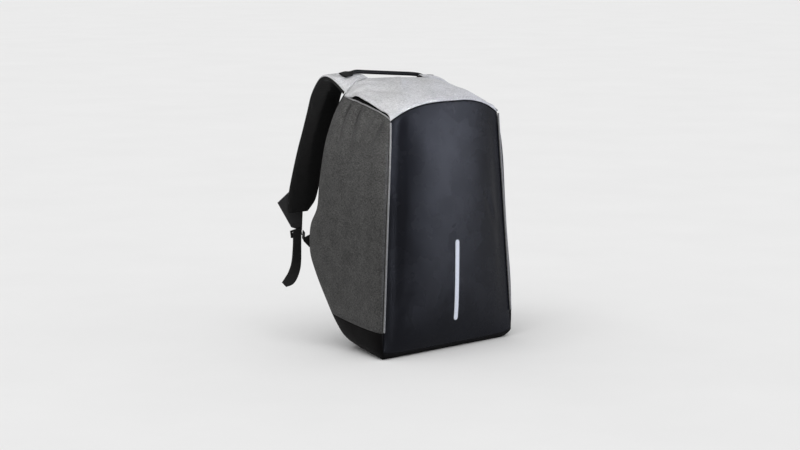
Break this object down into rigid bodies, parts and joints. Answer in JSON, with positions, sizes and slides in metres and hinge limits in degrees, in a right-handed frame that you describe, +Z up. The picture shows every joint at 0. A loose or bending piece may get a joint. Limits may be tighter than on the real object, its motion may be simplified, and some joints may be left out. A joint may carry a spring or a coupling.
{
  "type": "anti theft backpack",
  "caption": "Upright backpack with a smooth domed front panel, grey cloth sides, black wrap-round base, padded shoulder straps and a low top handle.",
  "frame": {"origin": "middle of the flat underside the bag stands on", "axes": "+Z up; -Y out of the smooth front panel; +Y towards the wearer's back and the shoulder straps"},
  "size_m": [0.3722, 0.2484, 0.4759],
  "materials": {
    "coated_cloth": "smooth coated cloth with a soft sheen",
    "grey_melange": "matt woven melange cloth",
    "light_melange": "matt woven melange cloth",
    "base_cloth": "coated cloth",
    "black_mesh": "padded air mesh",
    "webbing": "ribbed woven tape",
    "piping": "cloth covered cord",
    "reflective": "reflective tape",
    "buckle_plastic": "satin moulded plastic",
    "handle_rubber": "matt rubber coated webbing"
  },
  "bodies": {
    "root": {"front_panel": "coated_cloth", "top_panel": "light_melange", "side_panel_left": "grey_melange", "side_panel_right": "grey_melange", "back_panel": "black_mesh", "base": "base_cloth", "reflective_strip": "reflective", "front_piping_left": "piping", "front_piping_right": "piping", "top_piping_left": "piping", "top_piping_right": "piping", "zip_tape_left": "base_cloth", "zip_tape_right": "base_cloth", "handle": "handle_rubber", "shoulder_strap_left": "black_mesh", "shoulder_strap_right": "black_mesh", "strap_cover_left": "light_melange", "strap_cover_right": "light_melange", "strap_wing_left": "coated_cloth", "strap_wing_right": "coated_cloth", "ladder_lock_left": "buckle_plastic", "ladder_lock_right": "buckle_plastic", "webbing_tail_left": "webbing", "webbing_tail_right": "webbing", "lower_webbing_left": "webbing", "lower_webbing_right": "webbing", "side_tab_left": "webbing", "side_tab_right": "webbing"}
  },
  "joints": []
}
